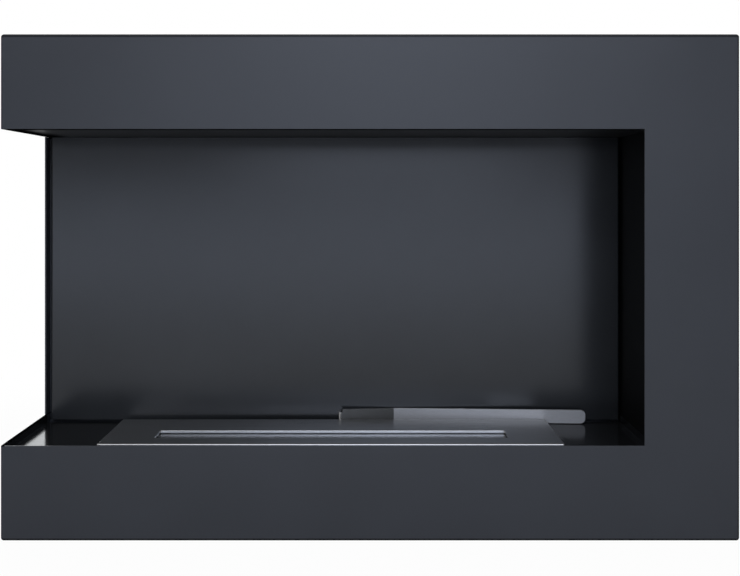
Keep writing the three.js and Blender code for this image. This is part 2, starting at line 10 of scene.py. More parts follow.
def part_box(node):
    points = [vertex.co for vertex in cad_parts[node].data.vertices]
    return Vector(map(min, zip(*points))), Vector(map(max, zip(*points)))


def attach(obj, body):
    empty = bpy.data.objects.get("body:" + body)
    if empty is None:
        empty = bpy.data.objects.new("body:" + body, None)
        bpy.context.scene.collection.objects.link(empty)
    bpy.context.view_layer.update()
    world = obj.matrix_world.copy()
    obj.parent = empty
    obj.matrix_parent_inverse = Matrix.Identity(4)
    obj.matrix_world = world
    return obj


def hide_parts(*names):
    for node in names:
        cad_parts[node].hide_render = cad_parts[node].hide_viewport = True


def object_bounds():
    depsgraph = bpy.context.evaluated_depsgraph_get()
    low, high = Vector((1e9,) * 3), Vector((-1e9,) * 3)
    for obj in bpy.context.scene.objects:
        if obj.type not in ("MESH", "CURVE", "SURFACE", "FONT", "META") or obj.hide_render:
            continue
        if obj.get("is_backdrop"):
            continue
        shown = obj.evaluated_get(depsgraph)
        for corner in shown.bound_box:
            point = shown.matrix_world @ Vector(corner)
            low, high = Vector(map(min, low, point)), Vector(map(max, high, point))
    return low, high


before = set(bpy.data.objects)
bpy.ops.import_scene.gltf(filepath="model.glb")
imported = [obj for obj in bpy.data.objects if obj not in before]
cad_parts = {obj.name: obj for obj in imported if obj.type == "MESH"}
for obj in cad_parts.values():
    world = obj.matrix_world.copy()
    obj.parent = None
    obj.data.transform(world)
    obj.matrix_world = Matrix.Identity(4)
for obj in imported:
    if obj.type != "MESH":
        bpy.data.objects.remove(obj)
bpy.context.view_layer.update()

# ---------------------------------------------------------------- front frame
# The C-shaped front is one 1.5 mm steel sheet, folded back all round its outer edge.
# Its corners are welded and ground flush, and it is powder-coated in a satin graphite black.


class Value:
    """A shader socket that takes part in sums."""

    def __init__(self, finish, socket):
        self.finish = finish
        self.socket = socket

    def combined(self, operation, first, second):
        return self.finish.node("ShaderNodeMath", {"operation": operation}, {0: first, 1: second})

    def __add__(self, other):
        return self.combined("ADD", self, other)

    def __sub__(self, other):
        return self.combined("SUBTRACT", self, other)

    def __rsub__(self, other):
        return self.combined("SUBTRACT", other, self)

    def __mul__(self, other):
        return self.combined("MULTIPLY", self, other)

    __radd__ = __add__
    __rmul__ = __mul__

    def over(self, low, high):
        """0 below low, 1 above high, and a smooth step between them."""
        settings = {"interpolation_type": "SMOOTHSTEP"}
        inputs = {0: self, 1: low, 2: high, 3: 0, 4: 1}
        return self.finish.node("ShaderNodeMapRange", settings, inputs)

    def under(self, low, high):
        """1 below low and 0 above high."""
        return 1 - self.over(low, high)


# The matt black that painted shade is mixed towards.
PAINTED_SHADE_BLACK = (0.004, 0.0042, 0.0045, 1)


class Finish:
    """A material under construction: its nodes are made by one method."""

    def __init__(self, name, tree=None):
        if tree is None:
            self.material = bpy.data.materials.new(name)
            self.material.use_nodes = True
            tree = self.material.node_tree
        self.tree = tree
        self.tree.nodes.clear()

    def node(self, kind, settings=None, inputs=None, output=0):
        made = self.tree.nodes.new(kind)
        for key, value in (settings or {}).items():
            setattr(made, key, value)
        for key, value in (inputs or {}).items():
            socket = made.inputs[key]
            if isinstance(value, Value):
                self.tree.links.new(value.socket, socket)
            else:
                socket.default_value = value
        return Value(self, made.outputs[output]) if made.outputs else None

    def place(self, scale=(1, 1, 1), turn=(0, 0, 0)):
        """The point on the piece, in metres, turned and stretched."""
        point = self.node("ShaderNodeTexCoord", output="Object")
        return self.node("ShaderNodeMapping", {}, {"Vector": point, "Rotation": turn, "Scale": scale})

    def axes(self, names, point=None):
        """Coordinates of a point, by default the one on the piece."""
        inputs = {"Vector": point or self.place()}
        return [self.node("ShaderNodeSeparateXYZ", {}, inputs, name) for name in names]

    def noise(self, scale, detail=2.0, roughness=0.5, at=None, distortion=0.0):
        """Soft random values around 0.5."""
        inputs = {
            "Vector": at or self.place(),
            "Scale": scale,
            "Detail": detail,
            "Roughness": roughness,
            "Distortion": distortion,
        }
        return self.node("ShaderNodeTexNoise", {}, inputs, "Fac")

    def blend(self, amount, first, second):
        """One colour turning into another."""
        inputs = {0: amount, 6: first, 7: second}
        return self.node("ShaderNodeMix", {"data_type": "RGBA"}, inputs, 2)

    def bump(self, height, strength, distance):
        inputs = {"Height": height, "Strength": strength, "Distance": distance}
        return self.node("ShaderNodeBump", {}, inputs)

    def surface(self, matt=None, **inputs):
        """The finished shader, with painted shade: matt black where matt is 1. Keywords are sockets
        with underscores.
        """
        named = {key.replace("_", " "): value for key, value in inputs.items()}
        shader = self.node("ShaderNodeBsdfPrincipled", {}, named)
        if matt:
            black = self.node("ShaderNodeBsdfDiffuse", {}, {"Color": PAINTED_SHADE_BLACK})
            shader = self.node("ShaderNodeMixShader", {}, {0: matt, 1: shader, 2: black})
        self.node("ShaderNodeOutputMaterial", {}, {"Surface": shader})
        return self.material


# Each pair is where a part of the painted shade starts or ends, and how softly.
RIM_RIGHT = (-0.3462, -0.3460)
RIM_BOTTOM = (0.0892, 0.0894)
RIM_TOP = (0.0902, 0.0904)
SOFFIT_BOTTOM = (0.388, 0.389)
SOFFIT_TOP = (0.3900, 0.3902)
SOFFIT_RIGHT = (0.2585, 0.2590)
SOFFIT_CORNER = (-0.338, -0.318)
SOFFIT_FRONT = (-0.088, -0.072)
OUTLINE_BACK = (-0.0990, -0.0985)
OUTLINE_TOP = (0.4768, 0.4775)
OUTLINE_BOTTOM = (0.0020, 0.0027)
OUTLINE_RIGHT = (0.3478, 0.3484)
OUTLINE_SHADE_STRENGTH = 0.65


def painted_shade_edges(paint):
    """Painted shade: matt black on the base's open left rim and under the header's left end and front
    edge.

    The folds round the outline of the front are partly darkened the same way, as painted shade.
    """
    x, y, z = paint.axes("XYZ")
    rim = x.under(*RIM_RIGHT) * z.over(*RIM_BOTTOM) * z.under(*RIM_TOP)
    soffit = z.over(*SOFFIT_BOTTOM) * z.under(*SOFFIT_TOP) * x.under(*SOFFIT_RIGHT)
    soffit_edges = x.under(*SOFFIT_CORNER) + y.under(*SOFFIT_FRONT)
    outline = z.over(*OUTLINE_TOP) + z.under(*OUTLINE_BOTTOM) + x.over(*OUTLINE_RIGHT)
    # Painted shade: the lit rim, the header's underside and the front's outline folds are darkened
    # towards matt black.
    return rim + soffit * soffit_edges + outline * y.under(*OUTLINE_BACK) * OUTLINE_SHADE_STRENGTH


def powder_coat(name, dark, light, gloss, sheen, painted_shade_parts=painted_shade_edges):
    """Satin powder paint: fine orange peel, faint clouds where it lies thicker, and matt black painted
    shade from its last argument.
    """
    paint = Finish(name)
    clouds = paint.noise(9.0, 3.0)
    peel = paint.noise(900.0, 2.0, 0.6)
    ripple = paint.noise(160.0, 1.0)
    grain = paint.noise(2600.0, 1.0)
    tone = clouds * 0.5 + peel * 0.3 + grain * 0.2
    height = peel * 0.55 + ripple * 0.3 + grain * 0.15
    return paint.surface(
        painted_shade_parts(paint),
        Base_Color=paint.blend(tone.over(0.3, 0.7), (*dark, 1), (*light, 1)),
        Roughness=clouds * 0.08 + peel * 0.06 + (gloss - 0.07),
        Specular_IOR_Level=sheen,
        Normal=paint.bump(height, 0.22, 0.00012),
    )


MERGE = 1e-6
FLAT_ANGLE = 0.5
CUT_ANGLE = 50
SHEET_SMOOTH_ANGLE = 48
SHEET_ROUNDING = 0.0003
SHEET_SEGMENTS = 2


def piece(name, shape, body, material, nodes, smooth_below=SHEET_SMOOTH_ANGLE):
    """A bmesh becomes a piece that rides a body, stands for CAD nodes and shades evenly."""
    for edge in shape.edges:
        edge.smooth = not edge.is_manifold or edge.calc_face_angle(0) < math.radians(smooth_below)
    mesh = bpy.data.meshes.new(name)
    shape.to_mesh(mesh)
    shape.free()
    for polygon in mesh.polygons:
        polygon.use_smooth = True
    obj = bpy.data.objects.new(name, mesh)
    bpy.context.collection.objects.link(obj)
    mesh.materials.append(material)
    shading = obj.modifiers.new("even shading", "WEIGHTED_NORMAL")
    shading.keep_sharp = True
    shading.weight = 100
    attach(obj, body)
    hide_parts(*nodes)


def rounded(shape, edges, width, segments, clamped=True):
    bmesh.ops.bevel(
        shape,
        geom=edges,
        offset=width,
        offset_type="OFFSET",
        segments=segments,
        profile=0.5,
        affect="EDGES",
        clamp_overlap=clamped,
        material=-1,
    )


def flattened(shape):
    """Merges flat neighbouring faces."""
    bmesh.ops.dissolve_limit(
        shape, angle_limit=math.radians(FLAT_ANGLE), verts=shape.verts, edges=shape.edges
    )


def sharp_edges(shape, angle):
    limit = math.radians(angle)
    return [e for e in shape.edges if e.is_manifold and e.calc_face_angle(0) > limit]


def softened(name, nodes, body, material, width=SHEET_ROUNDING):
    """A merged copy of CAD nodes whose cut edges are slightly rounded, as on real sheet."""
    shape = bmesh.new()
    for node in nodes:
        shape.from_mesh(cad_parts[node].data)
    bmesh.ops.remove_doubles(shape, verts=shape.verts, dist=MERGE)
    flattened(shape)
    rounded(shape, sharp_edges(shape, CUT_ANGLE), width, SHEET_SEGMENTS)
    piece(name, shape, body, material, nodes)


coat = powder_coat("graphite powder coat", (0.023, 0.0255, 0.032), (0.029, 0.032, 0.040), 0.40, 0.62)
softened("front_sheet", ["front_frame"], "casing", coat)

# ---------------------------------------------------------------- covers
# The top, base and side covers are folded from the same sheet and coated with the front.
# Their rear flanges turn inwards, and the back panel is screwed to them.

for part in ("top", "base", "side"):
    softened(f"{part}_sheet", [f"{part}_cover"], "casing", coat)

# ---------------------------------------------------------------- strips, braces and bearers
# Inside the casing, galvanised strips back the seams, and channels carry the header and the tray.
# They are spot-welded and left bare, so the zinc's spangle shows.


def galvanised():
    """Hot-dip zinc: crystals a centimetre across, each with its own grey and gloss."""
    sheet = Finish("galvanised sheet")
    turned_grain = sheet.place(turn=(0.4, 0.3, 0.2))
    inputs = {"Vector": turned_grain, "Scale": 85.0}
    crystal = sheet.node("ShaderNodeTexVoronoi", {"feature": "F1"}, inputs, "Color")
    grey = sheet.node("ShaderNodeSeparateColor", {}, {"Color": crystal}, "Red")
    streaks = sheet.noise(1.0, 3.0, 0.6, sheet.place((40, 40, 420)))
    fine = sheet.noise(1500.0, 2.0)
    tone = grey * 0.5 + streaks * 0.3 + fine * 0.2
    return sheet.surface(
        Base_Color=sheet.blend(
            tone.over(0.15, 0.85), (0.34, 0.355, 0.365, 1), (0.56, 0.575, 0.585, 1)
        ),
        Metallic=0.85,
        Roughness=grey * 0.18 + fine * 0.08 + 0.33,
        Normal=sheet.bump(grey * 0.4 + fine * 0.6, 0.12, 0.0001),
    )


spangle = galvanised()
STRIPS = [f"seam_strip_{place}" for place in ("top", "base", "side", "header_end", "base_end")]
BRACES = [f"header_brace_{side}" for side in ("left", "right")]
BEARERS = [f"tray_bearer_{place}" for place in ("left", "middle", "right")]
softened("seam_strips", STRIPS, "casing", spangle)
softened("header_braces", BRACES, "casing", spangle)
softened("tray_bearers", BEARERS, "casing", spangle)

# ---------------------------------------------------------------- back panel
# The flat back closes the casing and folds forwards beside the open left corner.
# It is coated black with the covers, and two keyholes take the wall screws.

softened("back_sheet", ["back_panel"], "casing", coat)

# ---------------------------------------------------------------- hanger plates
# Inside the back panel, a 2 mm zinc-plated steel plate behind each keyhole takes the weight.
# It is punched with the same keyhole and lies flat against the panel.


def zinc_plate():
    """Bright zinc: pale, slightly blue here and yellow there, with fine handling marks."""
    plating = Finish("zinc plate")
    clouds = plating.noise(70.0, 3.0)
    fine = plating.noise(2200.0, 2.0)
    tint = plating.noise(35.0, 1.0)
    base = plating.blend(tint.over(0.35, 0.65), (0.56, 0.585, 0.62, 1), (0.62, 0.60, 0.54, 1))
    return plating.surface(
        Base_Color=plating.blend(clouds.over(0.35, 0.75) * 0.35, base, (0.36, 0.37, 0.38, 1)),
        Metallic=0.95,
        Roughness=clouds * 0.2 + fine * 0.08 + 0.2,
        Normal=plating.bump(fine * 0.6 + clouds * 0.4, 0.1, 0.0001),
    )


zinc = zinc_plate()
HANGERS = ["hanger_plate_left", "hanger_plate_right"]
softened("hanger_plates", HANGERS, "casing", zinc)

# ---------------------------------------------------------------- back screws
# Ten zinc-plated pan-head screws hold the back panel to the covers' flanges.
# Each has a short rolled thread and a cross recess pressed into its head.


SMOOTH_ANGLE = 40


def new_piece(name, shape, body, material, nodes, smooth_below=SMOOTH_ANGLE):
    """A newly made shape becomes a piece once its faces point outwards."""
    bmesh.ops.recalc_face_normals(shape, faces=shape.faces)
    piece(name, shape, body, material, nodes, smooth_below)


def depth(node):
    """How far a CAD node reaches from front to back."""
    low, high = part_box(node)
    return high.y - low.y


def facing_wall(node, turn=0.0):
    """The matrix that lays a Z-axis turning along +Y, starting at the front of a CAD node."""
    low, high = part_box(node)
    centre = Vector(((low.x + high.x) / 2, low.y, (low.z + high.z) / 2))
    return (
        Matrix.Translation(centre)
        @ Matrix.Rotation(turn, 4, "Y")
        @ Matrix.Rotation(-math.pi / 2, 4, "X")
    )


def turned(profile, sides):
    """A profile of (radius, height) points spun round the Z axis into a closed turning."""
    shape = bmesh.new()
    points = [shape.verts.new((radius, 0, height)) for radius, height in profile]
    edges = [shape.edges.new(pair) for pair in zip(points, points[1:])]
    if profile[0][0] > 0:
        edges.append(shape.edges.new((points[-1], points[0])))
    bmesh.ops.spin(
        shape,
        geom=points + edges,
        cent=(0, 0, 0),
        axis=(0, 0, 1),
        angle=math.tau,
        steps=sides,
        use_merge=True,
    )
    bmesh.ops.remove_doubles(shape, verts=shape.verts, dist=MERGE)
    bmesh.ops.recalc_face_normals(shape, faces=shape.faces)
    return shape


def brick(size, middle):
    """A closed block of that size round its middle."""
    shape = bmesh.new()
    bmesh.ops.create_cube(shape, size=1.0)
    bmesh.ops.scale(shape, vec=size, verts=shape.verts)
    bmesh.ops.translate(shape, vec=middle, verts=shape.verts)
    return shape


def carved(shape, cutter, operation="DIFFERENCE"):
    """One closed shape cut by another, or kept only where they overlap."""
    bodies = []
    for part in (shape, cutter):
        mesh = bpy.data.meshes.new("blank")
        part.to_mesh(mesh)
        part.free()
        body = bpy.data.objects.new("blank", mesh)
        bpy.context.collection.objects.link(body)
        bodies.append(body)
    modifier = bodies[0].modifiers.new("cut", "BOOLEAN")
    modifier.operation = operation
    modifier.solver = "EXACT"
    modifier.object = bodies[1]
    bpy.context.view_layer.update()
    result = bmesh.new()
    result.from_object(bodies[0], bpy.context.evaluated_depsgraph_get())
    for body in bodies:
        bpy.data.objects.remove(body)
    return result


def repeated(shape, places):
    """Copies of one shape, each carried to its place by a matrix."""
    mesh = bpy.data.meshes.new("copy")
    shape.to_mesh(mesh)
    shape.free()
    whole = bmesh.new()
    for place in places:
        start = len(whole.verts)
        whole.from_mesh(mesh)
        whole.verts.ensure_lookup_table()
        bmesh.ops.transform(whole, matrix=place, verts=whole.verts[start:])
    bpy.data.meshes.remove(mesh)
    return whole


SCREWS = [f"back_screw_{i}" for i in range(1, 11)]
SCREW_LENGTH = depth(SCREWS[0])
SHANK_RADIUS = 0.0017
THREAD_DEPTH = 0.00012
THREAD_ROOT = SHANK_RADIUS - THREAD_DEPTH
THREAD_PITCH = 0.0007
THREADS = 6
POINT_RADIUS = SHANK_RADIUS * 0.6
POINT_HEIGHT = 0.0006
HEAD_RADIUS = 0.0035
HEAD_UNDERCUT = 0.0002
HEAD_RIM = 0.0005
HEAD_DOME = 0.0013
DOME_STEPS = 5
DOME_REACH = 0.98
RECESS = (0.0038, 0.00075, 0.0018)
SCREW_TURN = 0.7
head_start = SCREW_LENGTH - HEAD_RIM - HEAD_DOME
profile = [(0, 0), (POINT_RADIUS, 0)]
for turn in range(THREADS):
    height = POINT_HEIGHT + turn * THREAD_PITCH
    profile += [(THREAD_ROOT, height), (SHANK_RADIUS, height + THREAD_PITCH / 2)]
profile += [(THREAD_ROOT, head_start), (HEAD_RADIUS - HEAD_UNDERCUT, head_start)]
for step in range(DOME_STEPS + 1):
    slant = math.radians(90 * step / DOME_STEPS)
    radius = HEAD_RADIUS * math.cos(slant * DOME_REACH)
    profile.append((radius, head_start + HEAD_RIM + HEAD_DOME * math.sin(slant)))
profile.append((0, SCREW_LENGTH))
screw = turned(profile, 16)
for angle in (0, math.pi / 2):
    blade = brick(RECESS, (0, 0, SCREW_LENGTH))
    bmesh.ops.rotate(blade, matrix=Matrix.Rotation(angle, 3, "Z"), verts=blade.verts)
    screw = carved(screw, blade)
places = [facing_wall(node, SCREW_TURN * i) for i, node in enumerate(SCREWS)]
screws = repeated(screw, places)
new_piece("back_screws", screws, "casing", zinc, SCREWS)

# ---------------------------------------------------------------- ceiling and column liner
# The firebox's ceiling and right wall are folded steel channels behind the front's opening.
# Both are coated in a dull heat-resistant black, made darker than the rear liner's as painted shade,
# and the right wall is the deepest black of all.

# Painted shade: these are darker copies of the firebox's stove black, for the ceiling and wall in
# shade.
shaded_ceiling_black = powder_coat(
    "shaded dull stove black", (0.0108, 0.0118, 0.0134), (0.015, 0.0165, 0.0188), 0.4, 0.5
)
shaded_wall_black = powder_coat(
    "shaded deep stove black", (0.0025, 0.0026, 0.0028), (0.004, 0.0041, 0.0043), 0.5, 0.1
)
softened("firebox_ceiling", ["ceiling_panel"], "casing", shaded_ceiling_black)
softened("firebox_wall", ["column_liner"], "casing", shaded_wall_black)

# ---------------------------------------------------------------- rear liner
# The firebox's back is a steel plate with its edges folded back, held off the back panel.
# Its satin stove black is darkened by painted shade at its foot, behind the burner, and along its
# head.

LINER_SHADE_LEFT = (-0.28, -0.14)
LINER_SHADE_FOOT = (0.092, 0.116)
LINER_SHADE_HEAD = (0.374, 0.388)
LINER_SHADE_STRENGTH = 0.36


def painted_liner_shade(paint):
    """Painted shade: part of the way to matt black at the liner's foot, behind the burner, and along
    its head.
    """
    x, z = paint.axes("XZ")
    return (z.under(*LINER_SHADE_FOOT) * x.over(*LINER_SHADE_LEFT) + z.over(*LINER_SHADE_HEAD)) * LINER_SHADE_STRENGTH


stove_black = powder_coat(
    "satin stove black", (0.018, 0.0197, 0.022), (0.024, 0.0262, 0.029), 0.2, 0.64, painted_liner_shade
)
softened("firebox_back", ["rear_liner"], "casing", stove_black)

# ---------------------------------------------------------------- studs, spacers and nuts
# Four threaded studs welded to the liner's back run through tube spacers and the back panel.
# M5 nuts on the outside draw it up. All are zinc-plated.

STUDS = [f"liner_stud_{i}" for i in range(1, 5)]
STUD_LENGTH = depth(STUDS[0])
STUD_RADIUS = 0.0023
STUD_ROOT = 0.0020
STUD_PITCH = 0.0008
PLAIN_PITCHES = 2
profile = [(0, 0), (STUD_RADIUS, 0)]
for turn in range(1, int(STUD_LENGTH / STUD_PITCH) - PLAIN_PITCHES + 1):
    height = STUD_PITCH * turn
    profile += [(STUD_ROOT, height), (STUD_RADIUS, height + STUD_PITCH / 2)]
profile += [(STUD_ROOT, STUD_LENGTH), (0, STUD_LENGTH)]
studs = repeated(turned(profile, 16), [facing_wall(node) for node in STUDS])
new_piece("liner_studs", studs, "casing", zinc, STUDS)

SPACERS = [f"liner_spacer_{i}" for i in range(1, 5)]
SPACER_LENGTH = depth(SPACERS[0])
SPACER_RADIUS = 0.006
SPACER_BORE = 0.003
CHAMFER = 0.0004
profile = [
    (SPACER_BORE, CHAMFER),
    (SPACER_BORE + CHAMFER, 0),
    (SPACER_RADIUS - CHAMFER, 0),
    (SPACER_RADIUS, CHAMFER),
    (SPACER_RADIUS, SPACER_LENGTH - CHAMFER),
    (SPACER_RADIUS - CHAMFER, SPACER_LENGTH),
    (SPACER_BORE + CHAMFER, SPACER_LENGTH),
    (SPACER_BORE, SPACER_LENGTH - CHAMFER),
]
spacers = repeated(turned(profile, 24), [facing_wall(node) for node in SPACERS])
new_piece("liner_spacers", spacers, "casing", zinc, SPACERS)

NUTS = [f"liner_nut_{i}" for i in range(1, 5)]
NUT_HEIGHT = depth(NUTS[0])
NUT_CORNER = 0.0046
NUT_BORE = 0.0024
NUT_SETBACK = 0.0002
NUT_SLOPE = 0.00055
NUT_TURN = 0.4
NUT_SMOOTH_ANGLE = 25
face_radius = NUT_CORNER * math.cos(math.pi / 6) - NUT_SETBACK
clear_radius = NUT_CORNER + CHAMFER
nut = bmesh.new()
bmesh.ops.create_cone(
    nut, cap_ends=True, segments=6, radius1=NUT_CORNER, radius2=NUT_CORNER, depth=NUT_HEIGHT
)
bmesh.ops.translate(nut, vec=(0, 0, NUT_HEIGHT / 2), verts=nut.verts)
profile = [
    (NUT_BORE + CHAMFER, 0),
    (face_radius, 0),
    (clear_radius, NUT_SLOPE),
    (clear_radius, NUT_HEIGHT - NUT_SLOPE),
    (face_radius, NUT_HEIGHT),
    (NUT_BORE + CHAMFER, NUT_HEIGHT),
    (NUT_BORE, NUT_HEIGHT - CHAMFER),
    (NUT_BORE, CHAMFER),
]
nut = carved(nut, turned(profile, 36), "INTERSECT")
nuts = repeated(nut, [facing_wall(node, NUT_TURN * i) for i, node in enumerate(NUTS)])
new_piece("liner_nuts", nuts, "casing", zinc, NUTS, NUT_SMOOTH_ANGLE)

# ---------------------------------------------------------------- wall pads
# Four moulded rubber pads keep the screws off the wall. Each is a button with a rounded rim,
# a ring groove and a shallow dished middle, pressed onto the back panel.


def rubber():
    """Matt black rubber: fine moulded grain, grey dust in the hollows."""
    pad = Finish("wall pad rubber")
    dust = pad.noise(180.0, 4.0, 0.6)
    grain = pad.noise(2400.0, 2.0)
    return pad.surface(
        Base_Color=pad.blend(
            dust.over(0.5, 0.8) * 0.5, (0.014, 0.014, 0.015, 1), (0.05, 0.049, 0.047, 1)
        ),
        Roughness=dust * 0.12 + 0.72,
        Normal=pad.bump(grain * 0.7 + dust * 0.3, 0.25, 0.0002),
    )


PADS = [f"wall_bumper_{i}" for i in range(1, 5)]
PAD_HEIGHT = depth(PADS[0])
PAD_RADIUS = 0.0119
PAD_FOOT = 0.0003
PAD_ROUNDING = 0.0016
PAD_STEPS = 5
# The radius of each ring on the pad's face, and how far it lies below the rim.
PAD_FACE = [
    (0.0088, 0), (0.0084, 0.0006), (0.0078, 0.0006), (0.0074, 0),
    (0.0048, 0), (0.0042, 0.0008), (0.002, 0.0012), (0, 0.0012),
]
round_start = PAD_HEIGHT - PAD_ROUNDING
profile = [(0, 0), (PAD_RADIUS - PAD_FOOT, 0), (PAD_RADIUS, PAD_FOOT), (PAD_RADIUS, round_start)]
for step in range(1, PAD_STEPS + 1):
    slant = math.radians(90 * step / PAD_STEPS)
    radius = PAD_RADIUS - PAD_ROUNDING + PAD_ROUNDING * math.cos(slant)
    profile.append((radius, round_start + PAD_ROUNDING * math.sin(slant)))
profile += [(radius, PAD_HEIGHT - sink) for radius, sink in PAD_FACE]
pads = repeated(turned(profile, 40), [facing_wall(node) for node in PADS])
new_piece("wall_pads", pads, "casing", rubber(), PADS)

# ---------------------------------------------------------------- hearth tray
# The sunken hearth is a folded steel tray, turned up at the front and both ends.
# It is coated in gloss black enamel, smooth enough to mirror the firebox at a low angle.


def enamel():
    """Gloss black: nearly black, faintly wavy, with a little dust that breaks up the gloss."""
    gloss = Finish("gloss black enamel")
    wave = gloss.noise(95.0, 2.0)
    dust = gloss.noise(700.0, 3.0, 0.65)
    film = gloss.noise(14.0, 3.0)
    specks = dust.over(0.62, 0.78)
    return gloss.surface(
        # Painted shade: matt black on the tray's lit left rim.
        painted_shade_edges(gloss),
        Base_Color=gloss.blend(
            specks * 0.25, (0.011, 0.0115, 0.0124, 1), (0.035, 0.035, 0.035, 1)
        ),
        Roughness=film * 0.04 + specks * 0.1 + 0.12,
        Specular_IOR_Level=0.03,
        Specular_Tint=(0.93, 0.965, 1, 1),
        Normal=gloss.bump(wave, 0.05, 0.0003),
    )


softened("sunken_hearth", ["hearth_tray"], "casing", enamel())

# ---------------------------------------------------------------- burner plate
# The burner's cover is a 2.5 mm stainless plate with a skirt and one long slot.
# Its edges are rounded and its face is brushed along its length, and its sides and edges carry a
# painted highlight.


FINER = 3.1


def brushed(name, dark, light, gloss, along, zones=(), **grain):
    """Stainless steel with a long brushed grain: fine lines that change tone, gloss and height.

    Each zone gives an axis, where its tone ends along it, and the tone. The zones are used for painted
    highlight and painted shade.
    """
    steel = Finish(name)
    lines = steel.noise(1.0, 3.0, 0.7, steel.place(along))
    finer = steel.noise(1.0, 2.0, 0.6, steel.place(tuple(FINER * s for s in along)))
    clouds = steel.noise(11.0, 2.0)
    tone = lines * 0.5 + finer * 0.35 + clouds * 0.15
    colour = steel.blend(tone.over(0.25, 0.75), (*dark, 1), (*light, 1))
    for axis, (start, end), shade in zones:
        along_axis = steel.axes(axis)[0]
        colour = steel.blend(along_axis.over(start, end), (*shade, 1), colour)
    return steel.surface(
        Base_Color=colour,
        Metallic=1.0,
        Roughness=lines * 0.12 + clouds * 0.06 + (gloss - 0.09),
        Normal=steel.bump(lines * 0.5 + finer * 0.5, 0.1, 0.00008),
        **grain,
    )


NEAR = 1e-5
RIM_ANGLE = 60


def upright(edge):
    return abs(edge.verts[0].co.z - edge.verts[1].co.z) > MERGE


def uprights(shape):
    return [edge for edge in shape.edges if upright(edge)]


def level(edge, z):
    return all(abs(vert.co.z - z) < NEAR for vert in edge.verts)


plate_low, plate_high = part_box("burner_plate")
plate_size = plate_high - plate_low
plate_middle = (plate_high + plate_low) / 2
PLATE_THICKNESS = 0.0025
PLATE_CORNER = 0.0016
PLATE_EDGE = 0.0024
SKIRT = 0.002
SKIRT_CORNER = 0.001
SLOT_SIZE = Vector((0.3505, 0.040))
SLOT_MIDDLE = Vector((plate_middle.x, -0.0252))
SLOT_CORNER = 0.0012
SLOT_EDGE = 0.0005
HOLLOW_DEPTH = 0.01
SLOT_DEPTH = 0.02
BRUSHING = (12, 1500, 1500)
# Painted highlight: a lighter tone below the top face, on the sides, skirt and slot walls, and a
# dimmer one along the front edge.
EDGE_GLINT_TONE = (0.7, 0.7, 0.705)
EDGE_GLINT_TOP = (plate_high.z - 0.00025, plate_high.z - 0.00005)
FRONT_GLINT_TONE = (0.4, 0.398, 0.4)
FRONT_GLINT_BACK = (plate_low.y + 0.0018, plate_low.y + 0.0024)

plate_steel = brushed(
    "brushed stainless",
    (0.42, 0.418, 0.418),
    (0.58, 0.577, 0.577),
    0.3,
    BRUSHING,
    [("Z", EDGE_GLINT_TOP, EDGE_GLINT_TONE), ("Y", FRONT_GLINT_BACK, FRONT_GLINT_TONE)],
)
plate = brick(plate_size, plate_middle)
rounded(plate, uprights(plate), PLATE_CORNER, 5)
rounded(plate, [e for e in plate.edges if level(e, plate_high.z)], PLATE_EDGE, 4)
hollow = brick(
    (plate_size.x - 2 * SKIRT, plate_size.y - 2 * SKIRT, HOLLOW_DEPTH),
    (plate_middle.x, plate_middle.y, plate_high.z - PLATE_THICKNESS - HOLLOW_DEPTH / 2),
)
rounded(hollow, uprights(hollow), SKIRT_CORNER, 3)
plate = carved(plate, hollow)
slot = brick((*SLOT_SIZE, SLOT_DEPTH), (*SLOT_MIDDLE, plate_high.z))
rounded(slot, uprights(slot), SLOT_CORNER, 4)
plate = carved(plate, slot)
slot_rim = [
    edge
    for edge in sharp_edges(plate, RIM_ANGLE)
    if level(edge, plate_high.z)
    and all(abs(v.co.x - SLOT_MIDDLE.x) < SLOT_SIZE.x / 2 + NEAR for v in edge.verts)
    and all(abs(v.co.y - SLOT_MIDDLE.y) < SLOT_SIZE.y / 2 + NEAR for v in edge.verts)
]
rounded(plate, slot_rim, SLOT_EDGE, 3)
new_piece("burner_cover", plate, "burner", plate_steel, ["burner_plate"])

# ---------------------------------------------------------------- burner tank
# The fuel tank is an open box of 1.2 mm stainless sheet with rounded corners, in mill finish.
# It hangs under the plate and holds the fuel.


def mill_finish():
    """Cold-rolled stainless: grey, softly cloudy, with faint rolling lines along the sheet."""
    steel = Finish("mill-finish stainless")
    clouds = steel.noise(22.0, 4.0, 0.55)
    lines = steel.noise(1.0, 2.0, 0.6, steel.place((9, 420, 420)))
    fine = steel.noise(1800.0, 2.0)
    tone = clouds * 0.5 + lines * 0.3 + fine * 0.2
    return steel.surface(
        Base_Color=steel.blend(
            tone.over(0.25, 0.75), (0.36, 0.365, 0.375, 1), (0.52, 0.525, 0.535, 1)
        ),
        Metallic=1.0,
        Roughness=clouds * 0.14 + fine * 0.05 + 0.27,
        Normal=steel.bump(lines * 0.6 + fine * 0.4, 0.08, 0.0001),
    )


mill = mill_finish()
TANK_SHEET = 0.0012
TANK_CORNER = 0.006
TANK_FOLD = 0.0016
tank_low, tank_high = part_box("burner_tank")
tank_size = tank_high - tank_low
tank_middle = (tank_high + tank_low) / 2
tank = brick(tank_size, tank_middle)
rounded(tank, uprights(tank), TANK_CORNER, 8)
rounded(tank, [e for e in tank.edges if level(e, tank_low.z)], TANK_FOLD, 4)
inside = brick(
    (tank_size.x - 2 * TANK_SHEET, tank_size.y - 2 * TANK_SHEET, tank_size.z),
    tank_middle + Vector((0, 0, TANK_SHEET)),
)
rounded(inside, uprights(inside), TANK_CORNER - TANK_SHEET, 8)
tank = carved(tank, inside)
new_piece("fuel_tank", tank, "burner", mill, ["burner_tank"])

# ---------------------------------------------------------------- weld bead
# A bead of weld runs round the tank, where its rim meets the underside of the plate.
# It is laid by hand, rippled across its run and coloured by the heat.


